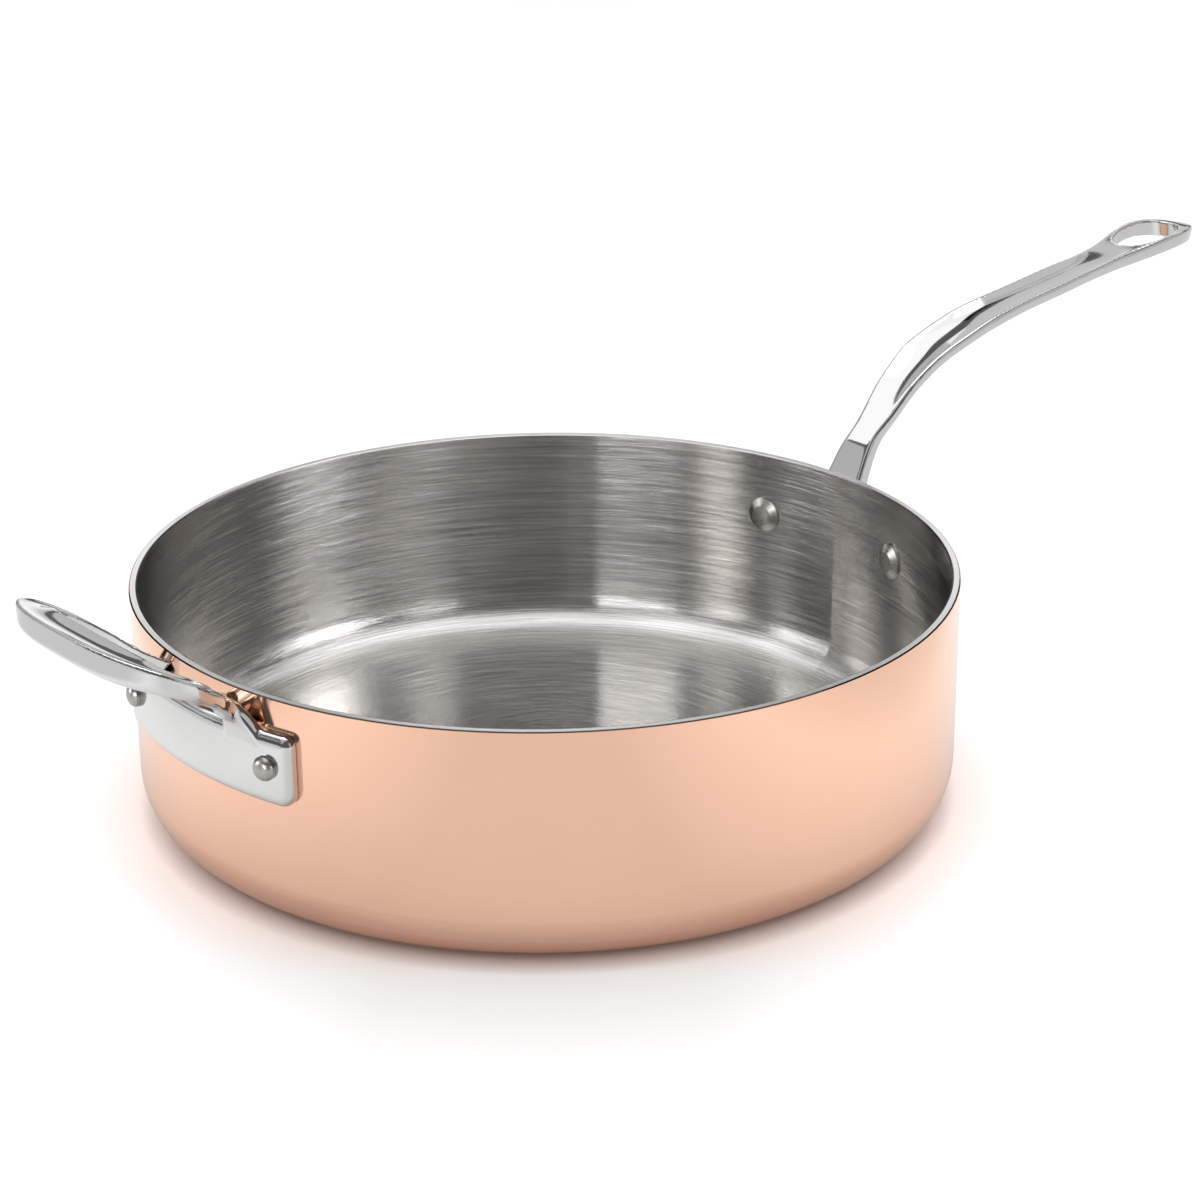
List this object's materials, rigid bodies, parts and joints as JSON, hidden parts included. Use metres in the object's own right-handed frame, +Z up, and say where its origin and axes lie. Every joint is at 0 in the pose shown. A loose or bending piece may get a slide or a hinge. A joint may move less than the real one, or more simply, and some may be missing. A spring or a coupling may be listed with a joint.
{
  "type": "saute pan",
  "caption": "Round straight-sided saute pan, copper outside and brushed steel inside, with a long riveted handle with a hanging eye and a looped helper handle opposite.",
  "frame": {"origin": "centre of the flat base's underside, where the pan stands", "axes": "+Z up along the pan's axis, +X along the long handle, helper handle towards -X"},
  "size_m": [0.5195, 0.28, 0.1442],
  "materials": {
    "copper": "polished",
    "core": "satin",
    "lining": "satin",
    "cast_handle": "polished",
    "rivet": "satin"
  },
  "bodies": {
    "root": {"copper_shell": "copper", "aluminium_core": "core", "steel_lining": "lining", "long_handle": "cast_handle", "helper_handle": "cast_handle", "rivets": "rivet"}
  },
  "joints": []
}
